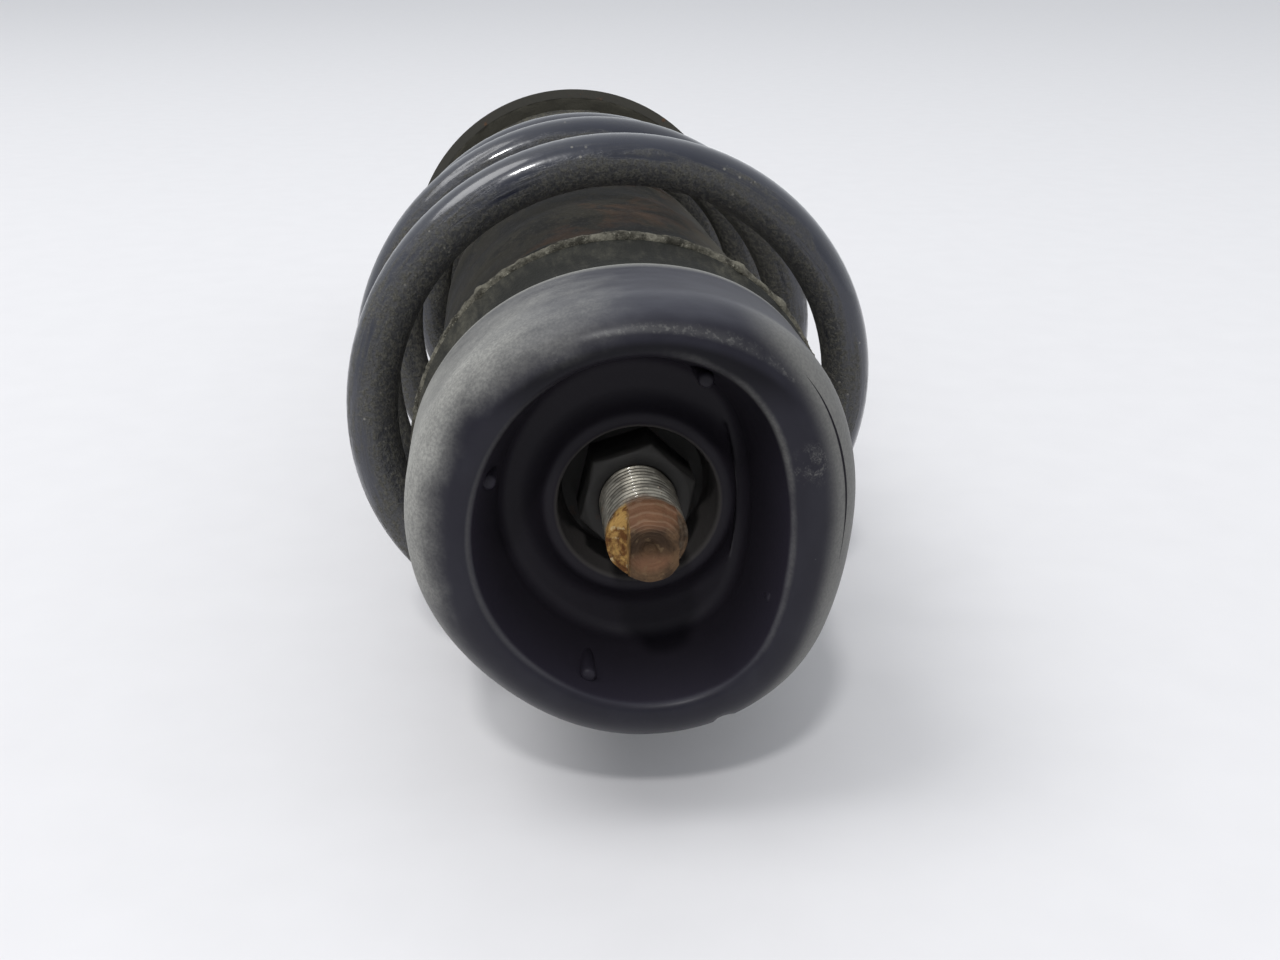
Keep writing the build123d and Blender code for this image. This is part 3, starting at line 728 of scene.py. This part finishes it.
def rubber_pad():
    """The pad behind the seat: bored plug, wall and the flare that carries the lip."""
    around = np.arange(0, 360, 2.0)
    wall = np.interp(around, *np.array(WALL_RADIUS).T, period=360) - PLUG_INSET
    rows = [(PAD_BORE_R, 12.0), (wall, 12.0), (wall, 12.9), (39.4, 13.3), (PAD_R, 13.6), (PAD_R, 16.0)]
    rows += [(PAD_R - 0.5 * math.sin(math.pi * k), 16.0 + 12.0 * k) for k in np.linspace(0.1, 1, 10)]
    flare = np.where((around < NO_FLARE[0]) | (around > NO_FLARE[1]), 1.0, 0.0)
    rows += [(40.0 + 0.7 * flare, 29.6), (40.0 + 1.1 * flare, 30.6), (40.0 + 1.2 * flare, 31.4 + flare)]
    rows += [(40.0 + 0.6 * flare, 31.2 + 1.8 * flare), (39.7, 31.1 + 1.9 * flare)]
    rows += [(39.4, 31.0), (PAD_BORE_R, 31.0)]
    points = np.array([round_points(r, s, around) for r, s in rows])
    points[4:17] = roughened(points[4:17], 7.0, 0.30, 21)
    piece = lathe("spring_pad", points, PAD, "rod_assembly")
    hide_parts("upper_insulator")


def pad_lip():
    """The pad's crumbling edge, which laps over the flare, thins out at its ends and has three lumps."""
    turns = np.arange(LIP_START, LIP_END, 0.5)
    reach = np.interp(turns, *np.array(LIP_REACH).T)
    rows = []
    for angle, out in zip(turns, reach):
        end = max(min(1.0, (angle - turns[0]) / 4, (turns[-1] - angle) / 4) ** 0.5, 0.02)
        lump = sum(np.exp(-((angle - a) / 1.6) ** 2) for a in LUMP_ANGLES) * 0.5
        rows.append([
            at(out - 1 + (r + 1 + lump) * end, angle, LIP_STATION + (s - LIP_STATION) * (1 + lump) * end)
            for r, s in LIP_SECTION
        ])
    points = roughened(rows, 1.1, 0.20, 9)
    points = roughened(points, 5.0, 0.22, 12)
    lathe("pad_lip", points, LIP, "rod_assembly", closed=False)


BOOT_WALL = 1.6
BOOT_NECK_R = 27.1
BOOT_FOLDS = 11
FOLDS_START = 45.5
FOLD_PITCH = 12.5
CREST_STATIONS = (45, 54, 130, 150, 168, 183)
CREST_RADII = (33.0, 38.0, 38.0, 37.0, 33.2, 32.4)
BOOT_CUFF = (
    (26.5, 184.0), (26.3, 186.0), (26.3, 191.0), (26.9, 192.0), (26.9, 195.0), (26.3, 196.0), (26.3, 200.0),
)
BOOT_BORE_R = 25.2
CUFF_BORE_R, CUFF_START = 24.4, 190
UNEVEN_START, UNEVEN_END = 46, 183
# A station down the boot, in millimetres; the point worked out at it is not used.
BOOT_HELD = 44


def boot_part(name, profile):
    """A thin-walled stretch of the boot, turned from its outer profile, its folds a little out of round."""
    around = np.arange(0, 360, 3.0)
    inner = []
    for r, s in reversed(profile):
        bore = CUFF_BORE_R if s > CUFF_START else BOOT_BORE_R
        inner.append((max(r - BOOT_WALL, bore), s))
    rows = np.array([round_points(r, s, around) for r, s in profile + inner])
    a = np.radians(around)
    for row, (_, s) in zip(rows, profile + inner):
        if UNEVEN_START < s < UNEVEN_END:
            wobble = 0.35 * np.sin(2 * a + s * 0.13) + 0.25 * np.sin(3 * a - s * 0.21)
            row[:, 0] += wobble * np.cos(a) / 1000
            row[:, 2] += wobble * np.sin(a) / 1000
    return lathe(name, rows, BOOT, "rod_assembly")


def dust_boot():
    """A soft bellows: a neck in the pad, then eleven folds and a cuff."""
    boot_part("boot_neck", [(BOOT_NECK_R, 8.0), (BOOT_NECK_R, 30.0), (BOOT_NECK_R, 43.4), (26.6, 44.6)])
    profile = [(BOOT_NECK_R, 43.4), (BOOT_NECK_R, 44.2)]
    for k in np.arange(0, BOOT_FOLDS + 0.001, 1 / 14):
        station = FOLDS_START + FOLD_PITCH * k
        wave = (0.5 - 0.5 * math.cos(2 * math.pi * k)) ** 0.8
        depth = 0.15 + 3.6 * min(1.0, max(0.0, (k - 6) / 3))
        profile.append((np.interp(station, CREST_STATIONS, CREST_RADII) - depth + depth * wave, station))
    profile += BOOT_CUFF
    piece = boot_part("bellows_boot", profile)
    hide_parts("dust_boot")
    at(0, 0, BOOT_HELD)
    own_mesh(piece)


MUD_SECTION = (
    (48.5, 217.1), (47.9, 217.2), (47.0, 217.7), (46.2, 218.1), (45.4, 218.5), (44.4, 218.9), (43.6, 219.4),
    (44.4, 225.0), (47.6, 229.0), (48.5, 226.0),
)


def packed_dirt():
    """Dried mud that fills the gap between the last turn and the dish's wall."""
    around = np.arange(0, 360, 2.0)
    rows = np.array([round_points(r, s, around) for r, s in MUD_SECTION])
    rows[1:7] = roughened(rows[1:7], 4.0, 0.45, 31)
    lathe("packed_dirt", rows, DIRT, "strut_body")


# Weld beads

BEAD_SEED = 7
BEAD_FLATNESS = 0.62
# The step from one bead to the next, as a share of their radius.
BEAD_STEP = 0.55


def bead_tree():
    """A node group that lays overlapping, flattened and slightly uneven beads along a path."""
    tree = bpy.data.node_groups.new("weld_bead", "GeometryNodeTree")
    face = tree.interface
    face.new_socket("Path", in_out="INPUT", socket_type="NodeSocketGeometry")
    for name, value in (("Spacing", 0.0014), ("Bead radius", 0.0026), ("Unevenness", 0.15)):
        face.new_socket(name, in_out="INPUT", socket_type="NodeSocketFloat").default_value = value
    face.new_socket("Metal", in_out="INPUT", socket_type="NodeSocketMaterial")
    face.new_socket("Bead", in_out="OUTPUT", socket_type="NodeSocketGeometry")
    add = tree.nodes.new

    def link(first, output, second, socket):
        tree.links.new(first.outputs[output], second.inputs[socket])

    given, result = add("NodeGroupInput"), add("NodeGroupOutput")
    curve, points = add("GeometryNodeMeshToCurve"), add("GeometryNodeCurveToPoints")
    points.mode = "LENGTH"
    link(given, "Path", curve, "Mesh")
    link(curve, "Curve", points, "Curve")
    link(given, "Spacing", points, "Length")
    ball, place = add("GeometryNodeMeshIcoSphere"), add("GeometryNodeInstanceOnPoints")
    ball.inputs["Subdivisions"].default_value = 3
    link(given, "Bead radius", ball, "Radius")
    least, chance = add("ShaderNodeMath"), add("FunctionNodeRandomValue")
    least.operation = "SUBTRACT"
    least.inputs[0].default_value = 1.0
    chance.data_type = "FLOAT"
    chance.inputs["Max"].default_value = 1.0
    chance.inputs["Seed"].default_value = BEAD_SEED
    link(given, "Unevenness", least, 1)
    link(least, "Value", chance, "Min")
    flat, size = add("ShaderNodeMath"), add("ShaderNodeCombineXYZ")
    flat.operation = "MULTIPLY"
    flat.inputs[1].default_value = BEAD_FLATNESS
    link(chance, "Value", flat, 0)
    link(chance, "Value", size, "X")
    link(chance, "Value", size, "Y")
    link(flat, "Value", size, "Z")
    link(points, "Points", place, "Points")
    link(points, "Rotation", place, "Rotation")
    link(ball, "Mesh", place, "Instance")
    link(size, "Vector", place, "Scale")
    real, paint = add("GeometryNodeRealizeInstances"), add("GeometryNodeSetMaterial")
    link(place, "Instances", real, "Geometry")
    link(real, "Geometry", paint, "Geometry")
    link(given, "Metal", paint, "Material")
    link(paint, "Geometry", result, "Bead")
    return tree


BEAD_TREE = bead_tree()


def weld(name, path, radius):
    """One weld bead of a radius in millimetres along points in metres, on the strut's body."""
    mesh = bpy.data.meshes.new(name + "_path")
    mesh.from_pydata(path, [(k, k + 1) for k in range(len(path) - 1)], [])
    carrier = show(name + "_path", mesh)
    layer = carrier.modifiers.new("bead", "NODES")
    layer.node_group = BEAD_TREE
    inputs = [item for item in BEAD_TREE.interface.items_tree if item.in_out == "INPUT"]
    sockets = {item.name: item.identifier for item in inputs}
    layer[sockets["Spacing"]] = radius * BEAD_STEP / 1000
    layer[sockets["Bead radius"]] = radius / 1000
    layer[sockets["Metal"]] = WELD
    graph = bpy.context.evaluated_depsgraph_get()
    made = bpy.data.meshes.new_from_object(carrier.evaluated_get(graph), depsgraph=graph)
    bpy.data.objects.remove(carrier)
    made.name = name
    made.shade_smooth()
    piece = show(name, made)
    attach(piece, "strut_body")


def arc_path(radius, station, start, end):
    return [at(radius, a, station) for a in np.arange(start, end + 0.01, 4)]


def welds():
    """Beads round the lower seat, the bracket's wrap and the hose bracket, and along the bracket's web."""
    weld("seat_weld", arc_path(24.9, 249.3, 0, 360), 1.7)
    weld("bracket_top_weld", arc_path(25.2, 325.4, -26, 206), 2.0)
    weld("bracket_end_weld", arc_path(25.2, 407.2, -26, 206), 2.0)
    for side, x in (("left", -19.4), ("right", 19.4)):
        for face, z in (("upper", -25.4), ("lower", -29.0)):
            path = [Vector((x, s - MIDDLE, AXIS_HEIGHT + z)) / 1000 for s in np.arange(334, 397, 3.0)]
            weld(f"web_{face}_weld_{side}", path, 1.1)
    weld("hose_bracket_weld", arc_path(24.6, 307.2, 157, 203), 1.3)


# Coil spring

WIRE_R = 5.25
# Degrees clockwise from +X as seen from the thread, and the radius and station of the wire's centre there.
SPRING_KNOTS = (
    (-150, 34.0, 36.55), (75, 34.0, 36.55), (140, 48.4, 42.6), (200, 51.6, 48.2), (270, 52.7, 55.2),
    (340, 52.95, 62.8), (540, 52.95, 87.3), (610, 51.6, 96.6), (680, 48.9, 106.0), (750, 48.6, 114.5),
    (820, 49.6, 122.0), (900, 50.0, 130.5), (990, 47.0, 140.5), (1080, 44.6, 149.5), (1170, 44.2, 158.0),
    (1260, 43.6, 166.5), (1350, 41.0, 174.5), (1440, 39.6, 182.0), (1530, 39.2, 189.5), (1620, 39.2, 197.0),
    (1710, 39.4, 204.0), (1800, 39.6, 211.0), (1860, 39.9, 216.6), (1920, 40.0, 221.55), (2100, 40.0, 221.55),
)
# Metres of wire to each step of its line, near enough for the streaks of dust.
WIRE_STEP = 0.0027
# A station along the spring, in millimetres; the point worked out at it is not used.
SPRING_HELD = 226.8


def spring_line():
    """Points of the wire's centre in millimetres, its corners eased by averaging over 70 degrees."""
    turn = np.arange(-150, 2101, 3.0)
    knots, radii, stations = np.array(SPRING_KNOTS).T
    window = np.linspace(-35, 35, 15)
    radius = np.mean([np.interp(turn + w, knots, radii) for w in window], axis=0)
    station = np.mean([np.interp(turn + w, knots, stations) for w in window], axis=0)
    return round_points(radius, station, -turn) * 1000


def coil_spring():
    """The round wire; each of its points stores how far along the wire it is and which way it faces."""
    line = spring_line()
    ahead = np.gradient(line, axis=0)
    ahead /= np.linalg.norm(ahead, axis=1)[:, None]
    outward = line - np.array([0, 0, AXIS_HEIGHT])
    outward[:, 1] = 0
    outward -= ahead * (outward * ahead).sum(1)[:, None]
    outward /= np.linalg.norm(outward, axis=1)[:, None]
    forward = np.cross(ahead, outward)
    if forward[len(forward) // 2, 1] > 0:
        forward = -forward
    round_wire = np.radians(np.arange(0, 360, 12))
    last = len(line) - 1
    sections = [(0, 0.9, -0.35)] + [(k, 1.0, 0.0) for k in range(len(line))] + [(last, 0.9, 0.35)]
    points, inward, frontal = [], [], []
    for k, share, shift in sections:
        for a in round_wire:
            arm = WIRE_R * share * (math.cos(a) * outward[k] + math.sin(a) * forward[k])
            points.append((line[k] + shift * ahead[k] + arm) / 1000)
            inward.append(0.5 - 0.5 * math.cos(a))
            frontal.append(0.5 + 0.5 * math.sin(a))
    count = len(round_wire)
    faces = grid_faces(len(sections), count)
    faces.append(tuple(reversed(range(count))))
    faces.append(tuple(range((len(sections) - 1) * count, len(sections) * count)))
    piece = outside(new_piece("spring_wire", points, faces, SPRING, "strut_body"))
    store(piece, "inward", inward)
    store(piece, "frontal", frontal)
    store(piece, "along", np.repeat([k * WIRE_STEP for k, _, _ in sections], count))
    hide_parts("coil_spring")
    at(0, 0, SPRING_HELD)
    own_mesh(piece)


upper_seat()
rod_nut()
seat_pips()
piston_rod()
rubber_pad()
pad_lip()
dust_boot()
packed_dirt()
welds()
coil_spring()


# Camera, floor and light

PITCH, HEADING = math.radians(21.1), math.radians(5.5)
SENSOR_WIDTH = 36
PHOTO_WIDTH = 1280
LENS_IN_PIXELS = 1400
# From the lens to the nut's face, in millimetres: to the right, down and ahead.
TO_NUT = (-0.34, 4.01, 250.7)


def camera():
    """The lens looks down at the strut's end, turned a little to the right."""
    level = Vector((math.sin(HEADING), math.cos(HEADING), 0))
    ahead = math.cos(PITCH) * level - math.sin(PITCH) * Vector((0, 0, 1))
    right = Vector((math.cos(HEADING), -math.sin(HEADING), 0))
    down = ahead.cross(right)
    offset = TO_NUT[0] * right + TO_NUT[1] * down + TO_NUT[2] * ahead
    data = bpy.data.cameras.new("camera")
    data.sensor_width = SENSOR_WIDTH
    data.lens = SENSOR_WIDTH * LENS_IN_PIXELS / PHOTO_WIDTH
    data.clip_start, data.clip_end = 0.01, 60
    holder = show("camera", data)
    turn = Matrix((right, -down, -ahead)).transposed()
    holder.matrix_world = Matrix.Translation(at(0, 0, 0) - offset / 1000) @ turn.to_4x4()
    bpy.context.scene.camera = holder


def floor():
    """A wide pale floor with a very faint grain."""
    mesh = bpy.data.meshes.new("floor")
    mesh.from_pydata([(-30, -30, 0), (30, -30, 0), (30, 30, 0), (-30, 30, 0)], [], [(0, 1, 2, 3)])
    f = Finish("pale_floor")
    colour = f.mix(f.noise(60, 3, 0.5), (0.725, 0.715, 0.725), (0.765, 0.755, 0.765))
    mesh.materials.append(f.finish(base_color=colour, roughness=0.5))
    show("floor", mesh)


def lamp(name, place, aim, size, power):
    """A round area lamp, its size in metres and its power in watts."""
    data = bpy.data.lights.new(name, "AREA")
    data.shape, data.size, data.energy = "DISK", size, power
    holder = show(name, data)
    holder.location = place
    holder.rotation_euler = (Vector(aim) - Vector(place)).to_track_quat("-Z", "Y").to_euler()


def world():
    """Soft pale light from all round, dimmer from the side where the camera stands."""
    sky = bpy.data.worlds.new("studio")
    sky.use_nodes = True
    tree = sky.node_tree
    direction = tree.nodes.new("ShaderNodeTexCoord")
    split = tree.nodes.new("ShaderNodeSeparateXYZ")
    tree.links.new(direction.outputs["Generated"], split.inputs[0])
    front = tree.nodes.new("ShaderNodeMapRange")
    front.interpolation_type = "SMOOTHSTEP"
    for socket, value in (("From Min", -0.9), ("From Max", 0.2), ("To Min", 0.56), ("To Max", 0.86)):
        front.inputs[socket].default_value = value
    tree.links.new(split.outputs["Y"], front.inputs["Value"])
    background = tree.nodes["Background"]
    background.inputs["Color"].default_value = (0.93, 0.96, 1.0, 1)
    tree.links.new(front.outputs[0], background.inputs["Strength"])
    bpy.context.scene.world = sky


camera()
floor()
world()
lamp("ceiling_lamp", (-0.48, -2.25, 2.65), (0, -0.15, 0.05), 0.3, 34)
lamp("far_lamp", (-1.4, -0.35, 2.55), (0, 0, 0.05), 1.6, 31)
bpy.context.scene.view_settings.view_transform = "Standard"
